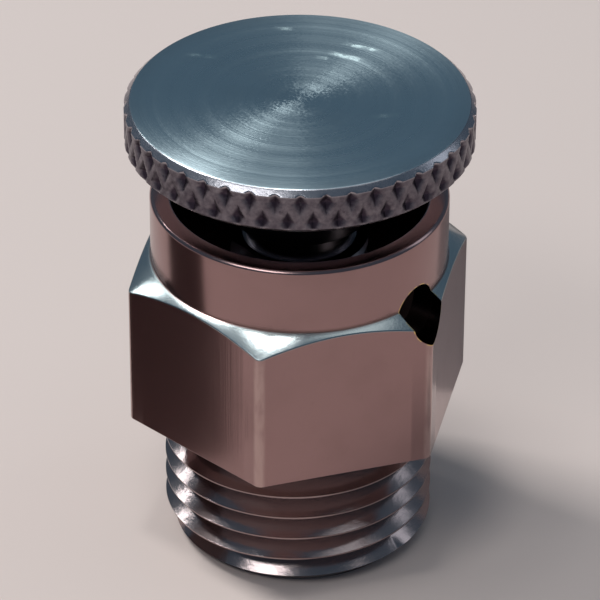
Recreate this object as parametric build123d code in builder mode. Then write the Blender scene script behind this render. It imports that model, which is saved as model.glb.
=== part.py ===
# Thumb-screw bleed valve for a radiator: a hexagon body with a drip cup, a knurled screw and its seat washer.
# Millimetres. Z runs up the valve's axis from the thread's end face, and X runs out through the vent hole.
import os
from math import atan2, cos, degrees, pi, radians, sin, tan

from build123d import *

# Male pipe thread that screws into the radiator, drawn at its major diameter
pipe_thread_diameter = 9.728
pipe_thread_length = 5.4
pipe_thread_depth = 0.58

# Hexagon for a spanner
hex_across_flats = 11.0
hex_height = 6.0
hex_corner_radius = 0.3
hex_chamfer_angle = 30.0

# Round collar above the hexagon, with the drip cup inside it
collar_diameter = 10.6
collar_height = 2.5
cup_diameter = 9.1
cup_depth = 3.85
rim_edge_break = 0.1

# Vent hole, drilled just above the floor of the cup, a little to one side of the corner on X
vent_diameter = 1.9
vent_sill = 0.1
vent_angle = 3.5

# Tapped bore below the cup, with a raised seat round the orifice, and the inlet below
screw_bore_diameter = 5.0
screw_bore_depth = 4.25
seat_diameter = 2.6
seat_height = 0.4
orifice_diameter = 1.6
orifice_length = 1.2
inlet_diameter = 4.2
drill_point_angle = 118.0

# Knob, knurled on its rim
knob_diameter = 12.3
knob_thickness = 1.7
knob_gap = 2.05
knob_edge_break = 0.22
knurl_pitch_around = 0.88
knurl_helix_angle = 30.0
knurl_land = 0.2
knurl_depth = 0.2

# Hub under the knob, a relief groove, and the screw with a vent flat on each side
hub_diameter = 5.1
hub_reach_into_cup = 0.7
relief_diameter = 3.8
relief_length = 1.0
screw_clearance = 0.05
screw_end_chamfer = 0.25
vent_flat_depth = 0.35

# Soft washer, held in the end of the screw by a rolled lip
washer_diameter = 3.6
washer_face_diameter = 3.0
washer_thickness = 0.9
washer_stand_out = 0.25
washer_lip = 0.15
washer_play = 0.04

# Levels up the axis
hex_bottom = pipe_thread_length
hex_top = hex_bottom + hex_height
collar_top = hex_top + collar_height
cup_floor = collar_top - cup_depth
vent_level = cup_floor + vent_sill + vent_diameter / 2
bore_floor = cup_floor - screw_bore_depth
seat_top = bore_floor + seat_height
inlet_top = bore_floor - orifice_length
knob_bottom = collar_top + knob_gap
knob_top = knob_bottom + knob_thickness
hub_bottom = collar_top - hub_reach_into_cup
screw_top = hub_bottom - relief_length
screw_end = seat_top + washer_stand_out
washer_bevel = screw_end + washer_lip
washer_shoulder = washer_bevel + (washer_diameter - washer_face_diameter) / 2
washer_top = seat_top + washer_thickness

# Radii
pipe_thread_radius = pipe_thread_diameter / 2
hex_corner_reach = hex_across_flats / 2 / cos(radians(30))
collar_radius = collar_diameter / 2
cup_radius = cup_diameter / 2
screw_bore_radius = screw_bore_diameter / 2
seat_radius = seat_diameter / 2
orifice_radius = orifice_diameter / 2
inlet_radius = inlet_diameter / 2
knob_radius = knob_diameter / 2
hub_radius = hub_diameter / 2
relief_radius = relief_diameter / 2
screw_radius = screw_bore_radius - screw_clearance
washer_radius = washer_diameter / 2
washer_face_radius = washer_face_diameter / 2

# Valve body: hexagon bar, collar and thread as one turned piece
inlet_shoulder = inlet_top - (inlet_radius - orifice_radius) / tan(radians(drill_point_angle / 2))
chamfer_drop = (hex_corner_reach - collar_radius) * tan(radians(hex_chamfer_angle))

with BuildPart() as valve_body:
    with BuildSketch(Plane.XY.offset(hex_bottom)) as hexagon:
        RegularPolygon(hex_across_flats / 2, 6, major_radius=False)
        fillet(hexagon.vertices(), hex_corner_radius)
    extrude(amount=hex_height)

    # The corners are turned off in a cone that starts at the foot of the collar
    with BuildSketch(Plane.XZ):
        with BuildLine():
            Polyline(
                (collar_radius, hex_top),
                (hex_corner_reach, hex_top),
                (hex_corner_reach, hex_top - chamfer_drop),
                close=True,
            )
        make_face()
    revolve(axis=Axis.Z, mode=Mode.SUBTRACT)

    with BuildSketch(Plane.XY.offset(hex_top)):
        Circle(collar_radius)
    extrude(amount=collar_height)

    with BuildSketch():
        Circle(pipe_thread_radius)
    extrude(amount=pipe_thread_length)
    chamfer(valve_body.faces().sort_by(Axis.Z)[0].edges(), pipe_thread_depth)

    # Cup, tapped bore, raised seat, orifice and inlet, all on the axis
    with BuildSketch(Plane.XZ):
        with BuildLine():
            Polyline(
                (0, 0),
                (inlet_radius, 0),
                (inlet_radius, inlet_shoulder),
                (orifice_radius, inlet_top),
                (orifice_radius, seat_top),
                (seat_radius, seat_top),
                (seat_radius, bore_floor),
                (screw_bore_radius, bore_floor),
                (screw_bore_radius, cup_floor),
                (cup_radius, cup_floor),
                (cup_radius, collar_top),
                (0, collar_top),
                close=True,
            )
        make_face()
    revolve(axis=Axis.Z, mode=Mode.SUBTRACT)
    chamfer(valve_body.faces().sort_by(Axis.Z)[-1].edges(), rim_edge_break)

    vent_way = (cos(radians(vent_angle)), sin(radians(vent_angle)), 0)
    with BuildSketch(Plane(origin=(0, 0, vent_level), z_dir=vent_way)):
        Circle(vent_diameter / 2)
    extrude(amount=hex_corner_reach, mode=Mode.SUBTRACT)

# Knurl: diamond pits between two crossing sets of ridges
knurl_count = round(pi * knob_diameter / knurl_pitch_around)
pit_width = pi * knob_diameter / knurl_count
pit_height = pit_width / tan(radians(knurl_helix_angle))
pit_side_angle = atan2(pit_height, pit_width)
pit_inset = knurl_land / 2
pit_half_width = pit_width / 2 - pit_inset / sin(pit_side_angle)
pit_half_height = pit_height / 2 - pit_inset / cos(pit_side_angle)
pit_point_share = 0.1
pit_overrun = knurl_depth
pit_mouth_share = 1 + (1 - pit_point_share) * pit_overrun / knurl_depth
pit_mouth_half_width = pit_half_width * pit_mouth_share
pit_mouth_half_height = pit_half_height * pit_mouth_share
pit_side_distance = pit_half_width * sin(pit_side_angle)
pit_slope = atan2(pit_side_distance * (1 - pit_point_share), knurl_depth)
pit_mouth = knob_radius + pit_overrun

with BuildPart() as knurl_pit:
    with BuildSketch(Plane.YZ.offset(pit_mouth)):
        Rectangle(3 * pit_mouth_half_width, 3 * pit_mouth_half_height)
    extrude(amount=-(pit_overrun + knurl_depth))

    # Four slanting cuts leave the diamond, narrower as it goes in
    for side_y in [-1, 1]:
        for side_z in [-1, 1]:
            across = side_y * sin(pit_side_angle) * cos(pit_slope)
            along = side_z * cos(pit_side_angle) * cos(pit_slope)
            corner = (pit_mouth, side_y * pit_mouth_half_width, 0)
            pit_side = Plane(origin=corner, z_dir=(-sin(pit_slope), across, along))
            split(bisect_by=pit_side, keep=Keep.BOTTOM)

# Thumb screw: knob, hub and screw turned as one piece
knob_middle = (knob_bottom + knob_top) / 2
pocket_radius = washer_radius + washer_play
pocket_top = washer_top + washer_play
pocket_shoulder = washer_shoulder - washer_play
lip_radius = washer_face_radius + washer_play
lip_top = washer_bevel - washer_play

with BuildPart() as thumb_screw:
    with BuildSketch(Plane.XZ):
        with BuildLine():
            Polyline(
                (0, pocket_top),
                (pocket_radius, pocket_top),
                (pocket_radius, pocket_shoulder),
                (lip_radius, lip_top),
                (lip_radius, screw_end),
                (screw_radius - screw_end_chamfer, screw_end),
                (screw_radius, screw_end + screw_end_chamfer),
                (screw_radius, screw_top),
                (relief_radius, screw_top),
                (relief_radius, hub_bottom),
                (hub_radius, hub_bottom),
                (hub_radius, knob_bottom),
                (knob_radius - knob_edge_break, knob_bottom),
                (knob_radius, knob_bottom + knob_edge_break),
                (knob_radius, knob_top - knob_edge_break),
                (knob_radius - knob_edge_break, knob_top),
                (0, knob_top),
                close=True,
            )
        make_face()
    revolve(axis=Axis.Z)

    # Flats that let the air up past the screw into the cup
    with BuildSketch(Plane.XY.offset(screw_end)):
        with PolarLocations(screw_radius, 2, start_angle=90):
            Rectangle(2 * vent_flat_depth, screw_bore_diameter)
    extrude(amount=screw_top - screw_end, mode=Mode.SUBTRACT)

    # Two rows of pits, half a step apart, with their outer points cut off by the edges of the rim
    for row in [-1, 1]:
        quarter_step = 90 / knurl_count * row
        with Locations((0, 0, knob_middle + row * pit_height / 4)):
            with PolarLocations(0, knurl_count, start_angle=quarter_step):
                add(knurl_pit.part, mode=Mode.SUBTRACT)

# Seat washer: a soft disc with a bevelled edge, free to turn in the end of the screw
with BuildPart() as seat_washer:
    with BuildSketch(Plane.XZ):
        with BuildLine():
            Polyline(
                (0, seat_top),
                (washer_face_radius, seat_top),
                (washer_face_radius, washer_bevel),
                (washer_radius, washer_shoulder),
                (washer_radius, washer_top),
                (0, washer_top),
                close=True,
            )
        make_face()
    revolve(axis=Axis.Z)

print("knurl pits a row", knurl_count, "helix", round(degrees(pi / 2 - pit_side_angle), 1))

os.makedirs("parts", exist_ok=True)
valve_body.part.label = "valve_body"
thumb_screw.part.label = "thumb_screw"
seat_washer.part.label = "seat_washer"
export_step(valve_body.part, "parts/valve_body.step")
export_step(thumb_screw.part, "parts/thumb_screw.step")
export_step(seat_washer.part, "parts/seat_washer.step")
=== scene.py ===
import random
from math import atan2, cos, hypot, pi, radians, sin, sqrt, tan

import bmesh
import bpy
from mathutils import Matrix, Vector


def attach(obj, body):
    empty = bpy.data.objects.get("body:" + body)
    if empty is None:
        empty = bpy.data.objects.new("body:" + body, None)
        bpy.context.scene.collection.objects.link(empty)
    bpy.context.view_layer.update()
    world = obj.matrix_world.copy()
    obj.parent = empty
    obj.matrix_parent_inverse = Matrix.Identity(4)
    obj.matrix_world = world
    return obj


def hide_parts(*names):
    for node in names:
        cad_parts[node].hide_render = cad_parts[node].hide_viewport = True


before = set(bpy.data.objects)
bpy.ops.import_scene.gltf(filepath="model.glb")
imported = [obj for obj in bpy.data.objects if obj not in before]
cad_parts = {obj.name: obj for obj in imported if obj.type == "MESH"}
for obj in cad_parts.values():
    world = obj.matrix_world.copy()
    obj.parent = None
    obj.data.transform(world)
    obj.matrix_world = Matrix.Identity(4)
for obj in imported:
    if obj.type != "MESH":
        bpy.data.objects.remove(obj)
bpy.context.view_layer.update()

mm = 0.001
weld = 1e-7                                       # points nearer than this, in metres, become one
scene = bpy.context.scene


def copyVerts(bm, geom):  # copies geom and gives the copy's vertices
    copy = bmesh.ops.duplicate(bm, geom=geom)["geom"]
    return [item for item in copy if isinstance(item, bmesh.types.BMVert)]


def rotate(bm, verts, angle, axis="Z"):
    bmesh.ops.rotate(bm, verts=verts, cent=(0, 0, 0), matrix=Matrix.Rotation(angle, 3, axis))


def polar(co):
    return hypot(co.x, co.y) / mm, atan2(co.y, co.x), co.z / mm


def setPolar(vert, r, angle, z):
    vert.co = Vector((r * mm * cos(angle), r * mm * sin(angle), z * mm))


def wrap(value, period):
    return value - period * round(value / period)


# outline corners listed in eased are rounded, and rings adds cuts to the edges that start at its keys
def turnProfile(outline, rings, eased, easing, steps, closed):
    sectors = 6                                   # one sixth is spun and the rest are copies of it
    bm = bmesh.new()
    verts = [bm.verts.new((r * mm, 0, z * mm)) for r, z in outline]
    ends = verts[1:] + verts[:1] if closed else verts[1:]
    for pair in zip(verts, ends):
        bm.edges.new(pair)
    middles = {index: (verts[index].co + verts[index + 1].co) / 2 for index in rings}
    bmesh.ops.bevel(bm, geom=[verts[index] for index in eased], offset=easing * mm,
                    offset_type="OFFSET", segments=3, profile=0.5, affect="VERTICES", material=-1)
    for index, middle in middles.items():
        near = min(bm.edges, key=lambda e: (e.verts[0].co + e.verts[1].co - 2 * middle).length)
        bmesh.ops.subdivide_edges(bm, edges=[near], cuts=rings[index])
    bmesh.ops.spin(bm, geom=bm.verts[:] + bm.edges[:], cent=(0, 0, 0), axis=(0, 0, 1),
                   angle=2 * pi / sectors, steps=steps // sectors)
    sector = bm.verts[:] + bm.edges[:] + bm.faces[:]
    for part in range(1, sectors):
        rotate(bm, copyVerts(bm, sector), part * 2 * pi / sectors)
    bmesh.ops.remove_doubles(bm, verts=bm.verts, dist=weld)
    bmesh.ops.recalc_face_normals(bm, faces=bm.faces)
    return bm


threadForm = {
    "fill": 0.97,             # width of the ridge at its root, as a share of the pitch
    "sink": 0.1,              # how far the ridge goes into the core
    "crestEase": 1.6,         # width below the eased crest, against the flat on it
    "endGap": 0.005,
}


def windThread(piece, shape, foot, top):  # one ridge wound round the core, right hand
    pitch, crest, flat = shape["threadPitch"], shape["threadRadius"], shape["threadFlat"] / 2
    root = crest - shape["threadDepth"]
    sunk = root - threadForm["sink"]
    half = pitch / 2 * threadForm["fill"]
    eased = flat * threadForm["crestEase"]
    gap = threadForm["endGap"]
    ridge = [(sunk, -half), (root, -half), (crest - flat, -eased), (crest, -flat), (crest, flat),
             (crest - flat, eased), (root, half), (sunk, half)]
    side = radians(shape["threadSide"])
    low = shape["threadCrest"] - (int((shape["threadCrest"] - foot) / pitch) + 1) * pitch
    bm = bmesh.new()
    verts = [bm.verts.new((r * mm * cos(side), r * mm * sin(side), (low + z) * mm)) for r, z in ridge]
    edges = [bm.edges.new(pair) for pair in zip(verts, verts[1:] + verts[:1])]
    steps = shape["threadSteps"]
    bmesh.ops.spin(bm, geom=verts + edges, cent=(0, 0, 0), axis=(0, 0, 1), angle=2 * pi, steps=steps,
                   dvec=(0, 0, pitch / steps * mm))
    firstTurn = bm.verts[:] + bm.edges[:] + bm.faces[:]
    turns = int((top - foot) / pitch) + 3         # enough to pass both ends
    for count in range(1, turns):
        bmesh.ops.translate(bm, verts=copyVerts(bm, firstTurn), vec=(0, 0, count * pitch * mm))
    bmesh.ops.remove_doubles(bm, verts=bm.verts, dist=weld)
    for vert in bm.verts:                         # ends hidden in the core, with a bevelled start
        r, angle, z = polar(vert.co)
        z = min(max(z, foot + gap), top - gap)
        setPolar(vert, min(r, root + z - foot - gap), angle, z)
    bmesh.ops.dissolve_degenerate(bm, dist=weld, edges=bm.edges)
    bmesh.ops.recalc_face_normals(bm, faces=bm.faces)
    bm.from_mesh(piece.data)
    bm.to_mesh(piece.data)
    bm.free()


def smoothShade(mesh, sharpAngle):
    mesh.shade_smooth()
    mesh.set_sharp_from_angle(angle=radians(sharpAngle))


def makePiece(bm, name, sharpAngle=30):
    mesh = bpy.data.meshes.new(name)
    bm.to_mesh(mesh)
    bm.free()
    smoothShade(mesh, sharpAngle)
    piece = bpy.data.objects.new(name, mesh)
    scene.collection.objects.link(piece)
    return piece


def settle(piece):  # takes the modifiers into the mesh
    depsgraph = bpy.context.evaluated_depsgraph_get()
    done = bpy.data.meshes.new_from_object(piece.evaluated_get(depsgraph))
    piece.modifiers.clear()
    piece.data = done
    piece.data.materials.clear()


def evenShading(piece, sharpAngle):  # large flat faces keep their own normals beside small rounded edges
    smoothShade(piece.data, sharpAngle)
    weigh = piece.modifiers.new("evenShading", "WEIGHTED_NORMAL")
    weigh.keep_sharp = True
    settle(piece)


# the place that the photograph was taken from, in degrees, millimetres and pixels
photoView = {
    "azimuth": 42.635,
    "elevation": 33.459,
    "roll": 0.321,
    "distance": 155.8,
    "targetRight": 0.034,
    "targetUp": 9.265,
    "focalPixels": 4344.0,
    "framePixels": 600.0,
    "sensor": 36,
    "clip": (0.001, 10),      # metres
}


def placeCamera(view):
    az, el = radians(view["azimuth"]), radians(view["elevation"])
    back = Vector((sin(az) * cos(el), -cos(az) * cos(el), sin(el)))
    right = Vector((cos(az), sin(az), 0))
    up = back.cross(right)
    roll = radians(view["roll"])
    rightRolled = right * cos(roll) + up * sin(roll)
    upRolled = up * cos(roll) - right * sin(roll)
    target = right * view["targetRight"] * mm + Vector((0, 0, view["targetUp"] * mm))
    data = bpy.data.cameras.new("photoCamera")
    data.sensor_width = view["sensor"]
    data.lens = view["sensor"] * view["focalPixels"] / view["framePixels"]
    data.clip_start, data.clip_end = view["clip"]
    camera = bpy.data.objects.new("photoCamera", data)
    turn = Matrix((rightRolled, upRolled, back)).transposed().to_4x4()
    camera.matrix_world = Matrix.Translation(target + back * view["distance"] * mm) @ turn
    scene.collection.objects.link(camera)
    scene.camera = camera


placeCamera(photoView)
print("camera placed")

# valve body: hexagon bar with a thread below, a collar and cup above
bodyShape = {
    "threadRadius": 4.864,
    "threadDepth": 0.58,
    "threadPitch": 0.907,
    "threadLength": 5.4,
    "threadCrest": 1.32,      # height of a crest on the side that faces the camera
    "threadSide": -47.365,
    "threadFlat": 0.05,
    "threadSteps": 144,
    "halfFlats": 5.5,
    "cornerRadius": 0.3,
    "hexTop": 11.4,
    "chamferAngle": 30.0,
    "collarRadius": 5.3,
    "rimTop": 13.9,
    "rimBreak": 0.1,
    "cupRadius": 4.55,
    "cupFloor": 10.05,
    "boreRadius": 2.5,
    "boreFloor": 5.8,
    "seatRadius": 1.3,
    "seatTop": 6.2,
    "orificeRadius": 0.8,
    "orificeFoot": 4.6,
    "inletRadius": 2.1,
    "inletShoulder": 3.82,
    "ventRadius": 0.95,
    "ventLevel": 11.1,
    "ventAngle": 3.5,
    "ventSides": 72,
    "drillStart": 0.5,        # where the vent's drill ends, from the axis
    "drillExtra": 1.0,
    "softEdge": 0.04,
    "sharpAngle": 34,
    "steps": 384,
    "barRadius": 6.0,         # round stand-in for the hexagon, shaped after the spin
    "cornerCrowding": 0.75,   # share of the steps drawn in to the corners
}
hexSides = 6
halfSide = pi / hexSides                          # half the angle that a side of the hexagon takes


def hexRadius(angle, shape):
    off = abs(wrap(angle, 2 * halfSide))
    rounding = shape["cornerRadius"]
    centre = (shape["halfFlats"] - rounding) / cos(halfSide)
    tangent = atan2(rounding * sin(halfSide), centre + rounding * cos(halfSide))
    if off < tangent:
        return centre * cos(off) + sqrt(rounding ** 2 - (centre * sin(off)) ** 2)
    return shape["halfFlats"] / cos(halfSide - off)


def makeBody(shape):
    hexFoot = shape["threadLength"]
    bar = shape["barRadius"]
    slope = tan(radians(shape["chamferAngle"]))
    chamferFoot = shape["hexTop"] - (bar - shape["collarRadius"]) * slope
    rootRadius = shape["threadRadius"] - shape["threadDepth"]
    outline = [
        (shape["inletRadius"], 0),
        (rootRadius, 0),
        (rootRadius, hexFoot),
        (bar, hexFoot),
        (bar, chamferFoot),
        (shape["collarRadius"], shape["hexTop"]),
        (shape["collarRadius"], shape["rimTop"] - shape["rimBreak"]),
        (shape["collarRadius"] - shape["rimBreak"], shape["rimTop"]),
        (shape["cupRadius"] + shape["rimBreak"], shape["rimTop"]),
        (shape["cupRadius"], shape["rimTop"] - shape["rimBreak"]),
        (shape["cupRadius"], shape["cupFloor"]),
        (shape["boreRadius"], shape["cupFloor"]),
        (shape["boreRadius"], shape["boreFloor"]),
        (shape["seatRadius"], shape["boreFloor"]),
        (shape["seatRadius"], shape["seatTop"]),
        (shape["orificeRadius"], shape["seatTop"]),
        (shape["orificeRadius"], shape["orificeFoot"]),
        (shape["inletRadius"], shape["inletShoulder"]),
    ]
    eased = (3, 4, 6, 7, 8, 9)                    # the hexagon's and the rim's corners
    bm = turnProfile(outline, {}, eased, shape["softEdge"], shape["steps"], True)
    for vert in bm.verts:
        r, angle, z = polar(vert.co)
        angle -= shape["cornerCrowding"] * sin(hexSides * angle) / hexSides
        if r > (shape["collarRadius"] + bar) / 2 and z < shape["hexTop"]:
            grow = hexRadius(angle, shape) - bar
            r += grow
            if z > (hexFoot + chamferFoot) / 2:
                z -= grow * slope
        setPolar(vert, r, angle, z)
    return makePiece(bm, "valveBodyTurned", shape["sharpAngle"])


def drillVent(piece, shape):
    bm = bmesh.new()
    reach = shape["halfFlats"] / cos(halfSide) + shape["drillExtra"]
    bmesh.ops.create_cone(bm, cap_ends=True, segments=shape["ventSides"], depth=reach * mm,
                          radius1=shape["ventRadius"] * mm, radius2=shape["ventRadius"] * mm)
    rotate(bm, bm.verts, pi / 2, "Y")
    middle = ((reach / 2 + shape["drillStart"]) * mm, 0, shape["ventLevel"] * mm)
    bmesh.ops.translate(bm, verts=bm.verts, vec=middle)
    rotate(bm, bm.verts, radians(shape["ventAngle"]))
    drill = makePiece(bm, "ventDrill")
    cut = piece.modifiers.new("vent", "BOOLEAN")
    cut.object = drill
    cut.operation = "DIFFERENCE"
    cut.solver = "EXACT"
    settle(piece)
    bpy.data.objects.remove(drill)


valveBody = makeBody(bodyShape)
drillVent(valveBody, bodyShape)
windThread(valveBody, bodyShape, 0, bodyShape["threadLength"])
evenShading(valveBody, bodyShape["sharpAngle"])
print("valve body", len(valveBody.data.polygons), "faces")

# thumb screw: knurled knob, hub and screw
screwShape = {
    "threadRadius": 2.45,
    "threadDepth": 0.43,
    "threadPitch": 0.8,
    "threadCrest": 7.0,
    "threadSide": 0.0,
    "threadFlat": 0.06,
    "threadSteps": 96,
    "screwEnd": 6.45,
    "screwTop": 12.2,
    "flatDistance": 2.1,
    "reliefRadius": 1.9,
    "hubRadius": 2.55,
    "hubFoot": 13.2,
    "knobRadius": 6.15,
    "knobFoot": 15.95,
    "knobTop": 17.65,
    "knobBreak": 0.22,
    "pitCount": 44,
    "pitDepth": 0.2,
    "pitFloor": 0.9,          # share of the depth where a pit's point is cut flat
    "pitLand": 0.2,
    "pitRows": (-1, 1),       # below and above the middle of the rim
    "helixAngle": 30.0,
    "pitSpread": 0.3,         # how unevenly the knurl was rolled
    "pitSeed": 7,
    "pitMargin": 0.03,        # how far in past the rim's broken edges the pits are looked for
    "pocketRadius": 1.84,
    "pocketTop": 7.14,
    "pocketShoulder": 6.86,
    "lipRadius": 1.54,
    "lipTop": 6.56,
    "softEdge": 0.05,
    "sharpAngle": 34,
    "stepsAPit": 12,
}


def knurlDepth(angle, z, shape, share):
    width = 2 * pi * shape["knobRadius"] / shape["pitCount"]
    height = width / tan(radians(shape["helixAngle"]))
    inset = shape["pitLand"] / 2
    side = atan2(height, width)
    halfWidth = width / 2 - inset / sin(side)
    halfHeight = height / 2 - inset / cos(side)
    middle = (shape["knobFoot"] + shape["knobTop"]) / 2
    deepest = 0
    for row in shape["pitRows"]:
        around = angle * shape["knobRadius"] - row * width / 4
        index = round(around / width) % shape["pitCount"]
        out = abs(wrap(around, width)) / halfWidth + abs(z - middle - row * height / 4) / halfHeight
        deepest = max(deepest, (1 - out) * share[row][index])
    return shape["pitDepth"] * min(deepest, shape["pitFloor"])


def makeScrew(shape):
    pick = random.Random(shape["pitSeed"])
    share = {}
    for row in shape["pitRows"]:
        share[row] = [1 + shape["pitSpread"] * (pick.random() - 0.5) for _ in range(shape["pitCount"])]
    edge = shape["knobBreak"]
    core = shape["threadRadius"] - shape["threadDepth"]
    outline = [
        (0, shape["pocketTop"]),
        (shape["pocketRadius"], shape["pocketTop"]),
        (shape["pocketRadius"], shape["pocketShoulder"]),
        (shape["lipRadius"], shape["lipTop"]),
        (shape["lipRadius"], shape["screwEnd"]),
        (core, shape["screwEnd"]),
        (core, shape["screwTop"]),
        (shape["reliefRadius"], shape["screwTop"]),
        (shape["reliefRadius"], shape["hubFoot"]),
        (shape["hubRadius"], shape["hubFoot"]),
        (shape["hubRadius"], shape["knobFoot"]),
        (shape["knobRadius"] - edge, shape["knobFoot"]),
        (shape["knobRadius"], shape["knobFoot"] + edge),
        (shape["knobRadius"], shape["knobTop"] - edge),
        (shape["knobRadius"] - edge, shape["knobTop"]),
        (0, shape["knobTop"]),
    ]
    rings = {11: 5, 12: 34, 13: 6, 14: 6}         # the rim, its broken edges and the top
    eased = (9, 11, 14)                           # the hub's foot and the inner edges of the rim
    steps = shape["pitCount"] * shape["stepsAPit"]
    bm = turnProfile(outline, rings, eased, shape["softEdge"], steps, False)
    for vert in bm.verts:
        r, angle, z = polar(vert.co)
        if z > shape["knobFoot"] and r > shape["knobRadius"] - edge - shape["pitMargin"]:
            r = min(r, shape["knobRadius"] - knurlDepth(angle, z, shape, share))
        setPolar(vert, r, angle, z)
    piece = makePiece(bm, "thumbScrewTurned", shape["sharpAngle"])
    windThread(piece, shape, shape["screwEnd"], shape["screwTop"])
    limit = shape["flatDistance"] * mm
    for vert in piece.data.vertices:              # flats that let the air past
        if vert.co.z < shape["screwTop"] * mm:
            vert.co.y = min(max(vert.co.y, -limit), limit)
    return piece


thumbScrew = makeScrew(screwShape)
evenShading(thumbScrew, screwShape["sharpAngle"])
print("thumb screw", len(thumbScrew.data.polygons), "faces")


# materials, all drawn from object coordinates in millimetres
def put(tree, kind, feeds, **settings):
    made = tree.nodes.new("ShaderNode" + kind)
    for key, value in settings.items():
        setattr(made, key, value)
    for key, value in feeds.items():
        feed(tree, made.inputs[key], value)
    return made.outputs


def feed(tree, socket, value):
    if isinstance(value, bpy.types.NodeSocket):
        tree.links.new(value, socket)
    else:
        socket.default_value = value


def maths(tree, operation, *values):
    return put(tree, "Math", dict(enumerate(values)), operation=operation)[0]


def times(tree, first, second):
    return maths(tree, "MULTIPLY", first, second)


def plus(tree, first, second):
    return maths(tree, "ADD", first, second)


def vectorMaths(tree, operation, *values):
    return put(tree, "VectorMath", dict(enumerate(values)), operation=operation)


def fade(tree, value, low, high):  # 0 at low, 1 at high, soft between
    feeds = {"Value": value, "From Min": low, "From Max": high}
    return put(tree, "MapRange", feeds, interpolation_type="SMOOTHSTEP")["Result"]


def fadeFrom(tree, value, level, span):  # the same, with both ends of the span measured from a level
    return fade(tree, value, level + span[0], level + span[1])


def pickBetween(tree, share, first, second):
    return put(tree, "Mix", {0: share, 2: first, 3: second})[0]


def blendColour(tree, share, first, second):
    made = tree.nodes.new("ShaderNodeMix")
    made.data_type = "RGBA"
    for index, value in ((0, share), (6, first), (7, second)):     # the colour sockets of a Mix node
        feed(tree, made.inputs[index], value)
    return made.outputs[2]


def places(tree):  # the point, its x and z, and its distance from the axis
    coords = put(tree, "TexCoord", {})["Object"]
    spot = put(tree, "VectorMath", {0: coords, "Scale": 1 / mm}, operation="SCALE")["Vector"]
    x, y, z = put(tree, "SeparateXYZ", {0: spot})
    radius = maths(tree, "SQRT", plus(tree, times(tree, x, x), times(tree, y, y)))
    return {"spot": spot, "x": x, "z": z, "radius": radius}


even = (1, 1, 1)                                  # grain that isn't drawn out any way
inRings = (1, 0, 0)                               # grain that is read along the radius only
noiseMiddle = 0.5


def grain(tree, spot, stretch, scale, detail=3.0, coarseness=0.6):
    pulled = vectorMaths(tree, "MULTIPLY", spot, stretch)["Vector"]
    feeds = {"Vector": pulled, "Scale": scale, "Detail": detail, "Roughness": coarseness}
    return put(tree, "TexNoise", feeds)["Fac"]


platingLook = {
    "clouds": (even, 0.45),   # stretch, scale and detail of the grain
    "cloudFade": (0.42, 0.75),
    "cloudShare": 0.12,
    "specks": (even, 7.0, 5.0),
    "speckFade": (0.6, 0.8),
    "speckShare": 0.25,
    "dulling": 0.22,
}


def makePlating(look):  # shared: cloudy nickel plate that dulls and browns where grime sits and where the masks fed in lay painted shade
    tree = bpy.data.node_groups.new("agedAndShadedPlating", "ShaderNodeTree")
    inlets = (("PlateAndReflection", "Color"), ("TarnishAndShade", "Color"), ("GrimeAndShade", "Float"), ("Polish", "Float"))
    outlets = (("Colour", "Color"), ("Roughness", "Float"))
    for way, sockets in (("INPUT", inlets), ("OUTPUT", outlets)):
        for name, kind in sockets:
            tree.interface.new_socket(name, in_out=way, socket_type="NodeSocket" + kind)
    entry = tree.nodes.new("NodeGroupInput").outputs
    leave = tree.nodes.new("NodeGroupOutput").inputs
    spot = places(tree)["spot"]
    clouds = fade(tree, grain(tree, spot, *look["clouds"]), *look["cloudFade"])
    specks = fade(tree, grain(tree, spot, *look["specks"]), *look["speckFade"])
    spots = plus(tree, times(tree, clouds, look["cloudShare"]), times(tree, specks, look["speckShare"]))
    share = put(tree, "Math", {0: spots, 1: entry["GrimeAndShade"]}, operation="ADD", use_clamp=True)[0]
    tree.links.new(blendColour(tree, share, entry["PlateAndReflection"], entry["TarnishAndShade"]), leave["Colour"])
    dull = times(tree, share, look["dulling"])
    tree.links.new(plus(tree, entry["Polish"], dull), leave["Roughness"])
    return tree


plating = makePlating(platingLook)


def newMaterial(name):
    mat = bpy.data.materials.new(name)
    mat.use_nodes = True
    return mat, mat.node_tree, mat.node_tree.nodes["Principled BSDF"]


def platedMaterial(name, look, shape, grimeAndShadeOf, heightOf):
    mat, tree, shader = newMaterial(name)
    where = places(tree)
    aged = tree.nodes.new("ShaderNodeGroup")
    aged.node_tree = plating
    aged.inputs["PlateAndReflection"].default_value = (*look["plateAndReflection"], 1)
    aged.inputs["TarnishAndShade"].default_value = (*look["tarnishAndShade"], 1)
    aged.inputs["Polish"].default_value = look["polish"]
    tree.links.new(grimeAndShadeOf(tree, where, look, shape), aged.inputs["GrimeAndShade"])
    tree.links.new(aged.outputs["Colour"], shader.inputs["Base Color"])
    tree.links.new(aged.outputs["Roughness"], shader.inputs["Roughness"])
    shader.inputs["Metallic"].default_value = 1
    height = heightOf(tree, where, look, shape)
    bump = put(tree, "Bump", {"Height": height, "Distance": look["markDepth"] * mm, "Strength": 1.0})
    tree.links.new(bump["Normal"], shader.inputs["Normal"])
    return mat, tree, shader, where


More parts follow.
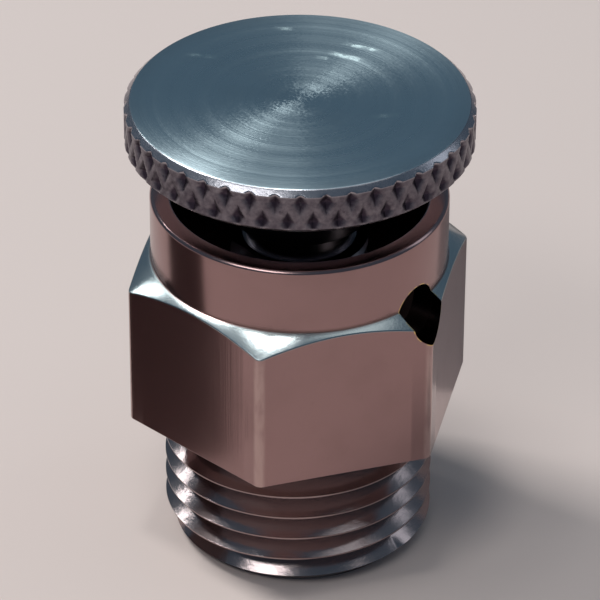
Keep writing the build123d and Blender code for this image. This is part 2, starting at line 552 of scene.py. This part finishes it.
bodyLook = {
    # darkened, warm plate: partly the plating's colour, partly a painted reflection of brown
    # surroundings
    "plateAndReflection": (0.325, 0.205, 0.20),
    "tarnishAndShade": (0.15, 0.095, 0.08),
    "thread": (0.31, 0.24, 0.238),
    "edge": (0.46, 0.33, 0.31),
    "chamfer": (0.44, 0.46, 0.46),
    "brassAndGlint": (0.72, 0.50, 0.20),
    "holeShade": (0.03, 0.02, 0.018),
    "polish": 0.19,
    "threadPolish": 0.17,
    "markDepth": 0.0024,
    "drawnLines": ((9, 9, 0.12), 1.0),            # along the bar
    "turnedLines": ((0.15, 0.15, 14), 1.0),       # round the collar
    "nicks": (even, 5.0, 4.0),
    "nickDepth": 2.0,
    "wear": ((1, 1, 0.3), 2.0),
    "wearFade": (0.25, 0.6),
    "chips": (even, 2.2),
    "chipFade": (0.45, 0.55),
    # shares of painted shade on the thread's flanks, inside the cup and in the collar's crease
    "valleyShade": 0.6,
    "cupShade": 0.15,
    "creaseShade": 0.5,
    "valley": (-0.009, -0.064),                   # spans, measured from the level that the code names
    "belowHex": (0.06, -0.10),
    "belowHexMarks": (-0.04, 0.04),
    "inCup": (0.11, -0.05),
    "underRim": (0.05, -0.4),
    "creaseUp": (0.15, 0.02),
    "creaseOut": (0.15, 0.01),
    "aboveHexMarks": (-0.02, 0.02),
    "ventLip": (0.05, 0.015),
    "ventLipOut": (-0.2, -0.05),
    "ventBore": (0.007, 0.001),
    "ventBoreOut": (0.5, 0.7),
    "cornerWearAndHighlight": (-0.0944, -0.0144),
    "chamferSkin": (0.05, 0.015),
    "chamferOut": (0.0, 0.06),
    "cupFoot": (2.75, 1.15),
    "boreFoot": (-0.2, 0.2),
}


# painted shade: darkens the thread's flanks under the hex, the cup's inside below the rim and the crease
# at the collar's foot
def bodyPaintedShade(tree, where, look, shape):
    z, radius = where["z"], where["radius"]
    valley = fadeFrom(tree, radius, shape["threadRadius"], look["valley"])     # painted shade on the thread's flanks, not on the crests
    below = fadeFrom(tree, z, shape["threadLength"], look["belowHex"])
    inCup = fadeFrom(tree, radius, shape["cupRadius"], look["inCup"])
    inCup = times(tree, inCup, fadeFrom(tree, z, shape["rimTop"], look["underRim"]))
    crease = fadeFrom(tree, z, shape["hexTop"], look["creaseUp"])
    crease = times(tree, crease, fadeFrom(tree, radius, shape["collarRadius"], look["creaseOut"]))
    paintedShade = times(tree, times(tree, valley, below), look["valleyShade"])
    paintedShade = plus(tree, paintedShade, times(tree, inCup, look["cupShade"]))
    return plus(tree, paintedShade, times(tree, crease, look["creaseShade"]))


def bodyMarks(tree, where, look, shape):
    spot, z = where["spot"], where["z"]
    drawn = grain(tree, spot, *look["drawnLines"])
    turned = grain(tree, spot, *look["turnedLines"])
    above = fadeFrom(tree, z, shape["hexTop"], look["aboveHexMarks"])
    marks = pickBetween(tree, above, drawn, turned)
    nicked = times(tree, grain(tree, spot, *look["nicks"]), look["nickDepth"])
    onHex = fadeFrom(tree, z, shape["threadLength"], look["belowHexMarks"])
    return pickBetween(tree, onHex, nicked, marks)


def ventDistance(tree, where, shape):  # from the vent's own axis
    feeds = {"Vector": where["spot"], "Angle": -radians(shape["ventAngle"])}
    turned = put(tree, "VectorRotate", feeds, rotation_type="Z_AXIS")["Vector"]
    off = vectorMaths(tree, "SUBTRACT", turned, (0, 0, shape["ventLevel"]))["Vector"]
    off = vectorMaths(tree, "MULTIPLY", off, (0, 1, 1))["Vector"]
    return vectorMaths(tree, "LENGTH", off)["Value"]


# the turned chamfer is painted lighter and neutral so that its highlights read white: partly its turned
# finish, partly a painted highlight
def chamferMask(tree, where, look, shape):
    slope = tan(radians(shape["chamferAngle"]))
    height = maths(tree, "MULTIPLY_ADD", where["radius"], slope, where["z"])   # level on the chamfer
    height = maths(tree, "SUBTRACT", height, shape["hexTop"] + shape["collarRadius"] * slope)
    skin = fade(tree, maths(tree, "ABSOLUTE", height), *look["chamferSkin"])
    return times(tree, skin, fadeFrom(tree, where["radius"], shape["collarRadius"], look["chamferOut"]))


def dressBody(look, shape):
    mat, tree, shader, where = platedMaterial("nickelBody", look, shape, bodyPaintedShade, bodyMarks)
    spot, x, z, radius = where["spot"], where["x"], where["z"], where["radius"]
    corner = (shape["halfFlats"] - shape["cornerRadius"]) / cos(halfSide) + shape["cornerRadius"]
    # lighter hex corners: rubbed wear, and a painted highlight along the rounded corners
    wear = fade(tree, grain(tree, spot, *look["wear"]), *look["wearFade"])
    rubbedAndHighlit = times(tree, fadeFrom(tree, radius, corner, look["cornerWearAndHighlight"]), wear)
    # the thread takes a tint of its own, set lighter as painted light against the shade under the hex
    onThread = fadeFrom(tree, z, shape["threadLength"], look["belowHex"])
    fromVent = ventDistance(tree, where, shape)
    # brass at the vent's lip: partly plating worn through, partly a painted glint on the edge
    ventLip = fadeFrom(tree, fromVent, shape["ventRadius"], look["ventLip"])
    ventLip = times(tree, ventLip, fadeFrom(tree, x, shape["collarRadius"], look["ventLipOut"]))
    ventLip = times(tree, ventLip, fade(tree, grain(tree, spot, *look["chips"]), *look["chipFade"]))
    # painted shade: the vent's bore and the lower cup and bore are painted near black
    ventBore = fadeFrom(tree, fromVent, shape["ventRadius"], look["ventBore"])
    ventBore = times(tree, ventBore, fadeFrom(tree, x, shape["boreRadius"], look["ventBoreOut"]))
    cupFoot = fadeFrom(tree, radius, shape["cupRadius"], look["inCup"])
    cupFoot = times(tree, cupFoot, fadeFrom(tree, z, shape["cupFloor"], look["cupFoot"]))
    cupFoot = times(tree, cupFoot, fadeFrom(tree, z, shape["boreFloor"], look["boreFoot"]))
    layers = (
        (rubbedAndHighlit, "edge"),
        (chamferMask(tree, where, look, shape), "chamfer"),
        (onThread, "thread"),
        (ventLip, "brassAndGlint"),
        (maths(tree, "MAXIMUM", ventBore, cupFoot), "holeShade"),
    )
    colour = shader.inputs["Base Color"].links[0].from_socket
    for mask, tint in layers:
        colour = blendColour(tree, mask, colour, (*look[tint], 1))
    tree.links.new(colour, shader.inputs["Base Color"])
    dulled = shader.inputs["Roughness"].links[0].from_socket
    tree.links.new(pickBetween(tree, onThread, dulled, look["threadPolish"]), shader.inputs["Roughness"])
    return mat


valveBody.data.materials.append(dressBody(bodyLook, bodyShape))

screwLook = {
    "plateAndReflection": (0.36, 0.33, 0.355),
    "tarnishAndShade": (0.055, 0.041, 0.058),
    "polish": 0.24,
    "markDepth": 0.003,
    "turnedLines": ((0.2, 0.2, 12), 1.0),
    "rolled": (even, 6.0, 4.0),
    "rolledDepth": 2.0,
    "specks": (even, 4.5, 4.0),                   # plate left on the high spots
    "speckShare": 0.9,
    # painted shade in the knurl's pits and on the hub
    "pitShade": 0.4,
    "rimGrime": 0.2,
    "hubShade": 0.3,
    "pits": (-0.02, -0.13),                       # spans, measured from the level that the code names
    "pitsIn": (-0.40, -0.25),
    "belowTop": (-0.19, -0.29),
    "aboveFoot": (0.10, 0.25),
    "nearHub": (0.45, 0.25),
    "rimMarks": (-0.45, -0.35),
}


# painted shade in the knurl's pits and on the hub under the knob; the rim's grime and specks are its own
def screwGrimeAndShade(tree, where, look, shape):
    z, radius = where["z"], where["radius"]
    pits = fadeFrom(tree, radius, shape["knobRadius"], look["pits"])
    pits = times(tree, pits, fadeFrom(tree, radius, shape["knobRadius"], look["pitsIn"]))
    rim = fadeFrom(tree, z, shape["knobTop"], look["belowTop"])
    rim = times(tree, rim, fadeFrom(tree, z, shape["knobFoot"], look["aboveFoot"]))
    specks = times(tree, grain(tree, where["spot"], *look["specks"]), look["speckShare"])
    combined = plus(tree, times(tree, pits, look["pitShade"]), plus(tree, specks, look["rimGrime"]))
    hub = times(tree, fadeFrom(tree, radius, shape["hubRadius"], look["nearHub"]), look["hubShade"])
    return plus(tree, times(tree, rim, combined), hub)


def screwMarks(tree, where, look, shape):
    turned = grain(tree, where["spot"], *look["turnedLines"])
    rolled = times(tree, grain(tree, where["spot"], *look["rolled"]), look["rolledDepth"])
    onRim = fadeFrom(tree, where["radius"], shape["knobRadius"], look["rimMarks"])
    return pickBetween(tree, onRim, turned, rolled)


screwMetal = platedMaterial("nickelScrew", screwLook, screwShape, screwGrimeAndShade, screwMarks)[0]

topLook = {
    # lighter and bluer than the knurl's plate: a painted reflection of the bluish sky on the faced top
    "plateAndReflection": (0.53, 0.61, 0.64),
    "tarnishAndShade": (0.30, 0.34, 0.37),
    "scratch": (0.58, 0.67, 0.68),
    "polish": 0.285,
    "scratchDull": 0.15,
    "markDepth": 0.016,
    "crown": 0.14,            # faced a little high in the middle
    "rings": (inRings, 9.0, 6.0),
    "bands": (inRings, 1.7, 4.0),                 # passes of the facing tool
    "banding": 0.3,
    "streaking": 0.8,
    "streakTurn": 0.25,
    "wobble": 1.6,
    "wobbleScale": 11.0,
    "wobbleDetail": 1.0,
    "edgeGrime": 0.2,
    "nearEdge": (-0.95, -0.20),                   # measured from the rim
    "facing": 0.9,            # least upward part of the normal on the top
    "skin": 0.05,
    "breaks": (even, 2.6),
    "breakFade": (0.4, 0.65),
    "leastBreak": 0.35,
    "scratchSides": (1.6, 0.4),                   # where a scratch starts and is full, in its widths
    "scratchEnds": 0.4,
    "scratches": (            # right, away, heading, length, width, as the camera sees them
        (-3.5, 2.95, -10, 0.65, 0.12),
        (1.6, 2.95, -24, 0.8, 0.13),
        (2.2, 3.6, -24, 0.85, 0.1),
        (0.75, 2.85, -14, 0.3, 0.1),
        (2.9, -1.1, 8, 0.65, 0.12),
        (-0.6, 4.9, -4, 0.45, 0.1),
    ),
}


def topGrime(tree, where, look, shape):
    nearEdge = fadeFrom(tree, where["radius"], shape["knobRadius"], look["nearEdge"])
    return times(tree, nearEdge, look["edgeGrime"])


def facingMarks(tree, where, look, shape):
    rings = put(tree, "CombineXYZ", {0: where["radius"]})[0]
    crown = look["crown"] / look["markDepth"] / shape["knobRadius"] ** 2
    fall = times(tree, times(tree, where["radius"], where["radius"]), crown)
    return maths(tree, "SUBTRACT", grain(tree, rings, *look["rings"]), fall)


def scratchMask(tree, where, look):
    turn = radians(photoView["azimuth"])
    outer, inner = look["scratchSides"]
    total = None
    for right, away, heading, length, width in look["scratches"]:
        centre = (right * cos(turn) - away * sin(turn), right * sin(turn) + away * cos(turn), 0)
        way = turn + radians(heading)
        off = vectorMaths(tree, "SUBTRACT", where["spot"], centre)["Vector"]
        along = vectorMaths(tree, "DOT_PRODUCT", off, (cos(way), sin(way), 0))["Value"]
        aside = vectorMaths(tree, "DOT_PRODUCT", off, (-sin(way), cos(way), 0))["Value"]
        line = fade(tree, maths(tree, "ABSOLUTE", aside), width * outer, width * inner)
        ends = fade(tree, maths(tree, "ABSOLUTE", along), length, length * look["scratchEnds"])
        mark = times(tree, line, ends)
        total = mark if total is None else maths(tree, "MAXIMUM", total, mark)
    broken = fade(tree, grain(tree, where["spot"], *look["breaks"]), *look["breakFade"])
    return times(tree, total, plus(tree, broken, look["leastBreak"]))


def facedTangent(tree, where, look):  # round the axis, shaken a little to soften the streak's middle
    feeds = {"Vector": where["spot"], "Scale": look["wobbleScale"], "Detail": look["wobbleDetail"]}
    shaken = put(tree, "TexNoise", feeds)["Color"]
    shaken = vectorMaths(tree, "SUBTRACT", shaken, (noiseMiddle,) * 3)["Vector"]
    shaken = vectorMaths(tree, "MULTIPLY_ADD", shaken, (look["wobble"],) * 3, where["spot"])["Vector"]
    around = vectorMaths(tree, "CROSS_PRODUCT", (0, 0, 1), shaken)["Vector"]
    spaces = {"vector_type": "VECTOR", "convert_from": "OBJECT", "convert_to": "WORLD"}
    return put(tree, "VectorTransform", {0: around}, **spaces)[0]


def dressTop(look, shape):
    mat, tree, shader, where = platedMaterial("nickelFacedTop", look, shape, topGrime, facingMarks)
    mask = scratchMask(tree, where, look)
    plated = shader.inputs["Base Color"].links[0].from_socket
    tree.links.new(blendColour(tree, mask, plated, (*look["scratch"], 1)), shader.inputs["Base Color"])
    bands = grain(tree, put(tree, "CombineXYZ", {0: where["radius"]})[0], *look["bands"])
    uneven = times(tree, maths(tree, "SUBTRACT", bands, noiseMiddle), look["banding"])
    combined = plus(tree, shader.inputs["Roughness"].links[0].from_socket, uneven)
    tree.links.new(plus(tree, combined, times(tree, mask, look["scratchDull"])), shader.inputs["Roughness"])
    shader.inputs["Anisotropic"].default_value = look["streaking"]
    shader.inputs["Anisotropic Rotation"].default_value = look["streakTurn"]
    tree.links.new(facedTangent(tree, where, look), shader.inputs["Tangent"])
    return mat


thumbScrew.data.materials.append(screwMetal)
thumbScrew.data.materials.append(dressTop(topLook, screwShape))
# the faces that look up take the faced top's lighter, bluer plate, a painted reflection
topLevel = (screwShape["knobTop"] - topLook["skin"]) * mm
for face in thumbScrew.data.polygons:
    face.material_index = int(face.normal.z > topLook["facing"] and face.center.z > topLevel)

rubberLook = {
    "fresh": (0.02, 0.02, 0.021),
    "chalky": (0.06, 0.058, 0.055),
    "bloom": (even, 2.5),
    "bloomFade": (0.4, 0.7),
    "dullFade": (-0.6, 1.0),
}


def makeRubber(look):
    mat, tree, shader = newMaterial("seatRubber")
    bloom = grain(tree, places(tree)["spot"], *look["bloom"])
    chalk = fade(tree, bloom, *look["bloomFade"])
    colour = blendColour(tree, chalk, (*look["fresh"], 1), (*look["chalky"], 1))
    tree.links.new(colour, shader.inputs["Base Color"])
    tree.links.new(fade(tree, bloom, *look["dullFade"]), shader.inputs["Roughness"])
    return mat


washer = bpy.data.objects["seat_washer"]
washer.data.materials.clear()
washer.data.materials.append(makeRubber(rubberLook))
print("materials ready")

coolWhite = (0.93, 1.0, 1.0)
studio = {
    "floor": (0.63, 0.50, 0.46),
    "floorReach": 3.0,        # metres
    "sky": (0.09, 0.14, 0.19),
    "dullness": 0.8,
    "lamps": (                # name, azimuth, elevation, distance, size, power, colour
        ("keyLeft", -118, 58, 0.35, (0.07, 0.07), 0.74, coolWhite),
        ("windowLeft", -126, 33.5, 0.40, (0.04, 0.04), 0.07, (0.9, 1.0, 1.0)),
        ("overLeft", -80, 75, 0.40, (0.06, 0.06), 0.13, coolWhite),
        ("overhead", -35, 83, 0.40, (0.05, 0.05), 0.27, coolWhite),
        ("overRight", 85, 71, 0.40, (0.17, 0.17), 0.075, coolWhite),
        ("frontFill", -36, 51, 0.40, (0.24, 0.07), 0.30, coolWhite),
        ("sideRight", 106, 32, 0.40, (0.10, 0.16), 0.06, (0.8, 0.92, 1.0)),
    ),
    "boards": (               # name, right, away, heading, width, height, colour: seen in the metal only
        ("boardLeft", -10.8, -2.8, 0, 6.2, 12.0, (0.23, 0.175, 0.17)),
        ("boardBack", 8.6, 7.2, 65, 9.0, 10.0, (0.70, 0.64, 0.63)),
    ),
    "boardThickness": 0.2,
    "boardLift": 0.02,
}


def plainMaterial(name, colour):
    mat, _, shader = newMaterial(name)
    shader.inputs["Base Color"].default_value = (*colour, 1)
    shader.inputs["Roughness"].default_value = studio["dullness"]
    return mat


def makeFloor(colour):
    bm = bmesh.new()
    bmesh.ops.create_grid(bm, x_segments=1, y_segments=1, size=studio["floorReach"])
    floor = makePiece(bm, "floor")
    floor.data.materials.append(plainMaterial("paleFloor", colour))


def makeBoard(name, right, away, heading, width, height, colour):
    bm = bmesh.new()
    bmesh.ops.create_cube(bm, size=1.0)
    bmesh.ops.scale(bm, verts=bm.verts, vec=(studio["boardThickness"] * mm, width * mm, height * mm))
    rotate(bm, bm.verts, radians(heading))
    middle = (right * mm, away * mm, (height / 2 + studio["boardLift"]) * mm)
    bmesh.ops.translate(bm, verts=bm.verts, vec=middle)
    rotate(bm, bm.verts, radians(photoView["azimuth"]))
    board = makePiece(bm, name)
    board.data.materials.append(plainMaterial(name, colour))
    board.visible_camera = False
    board.visible_diffuse = False
    board.visible_shadow = False


def softLamp(name, azimuth, elevation, distance, size, power, colour):
    az, el = radians(azimuth + photoView["azimuth"]), radians(elevation)
    way = Vector((sin(az) * cos(el), -cos(az) * cos(el), sin(el)))
    data = bpy.data.lights.new(name, "AREA")
    data.shape = "RECTANGLE"
    data.size, data.size_y = size
    data.energy = power
    data.color = colour
    lamp = bpy.data.objects.new(name, data)
    lamp.location = way * distance
    lamp.rotation_euler = way.to_track_quat("Z", "Y").to_euler()
    scene.collection.objects.link(lamp)


makeFloor(studio["floor"])
for board in studio["boards"]:
    makeBoard(*board)
for lamp in studio["lamps"]:
    softLamp(*lamp)
world = bpy.data.worlds.new("studio")
world.use_nodes = True
world.node_tree.nodes["Background"].inputs["Color"].default_value = (*studio["sky"], 1)
scene.world = world
scene.view_settings.view_transform = "Standard"
print("studio ready")

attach(valveBody, "body")
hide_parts("valve_body")
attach(thumbScrew, "knob")
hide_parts("thumb_screw")
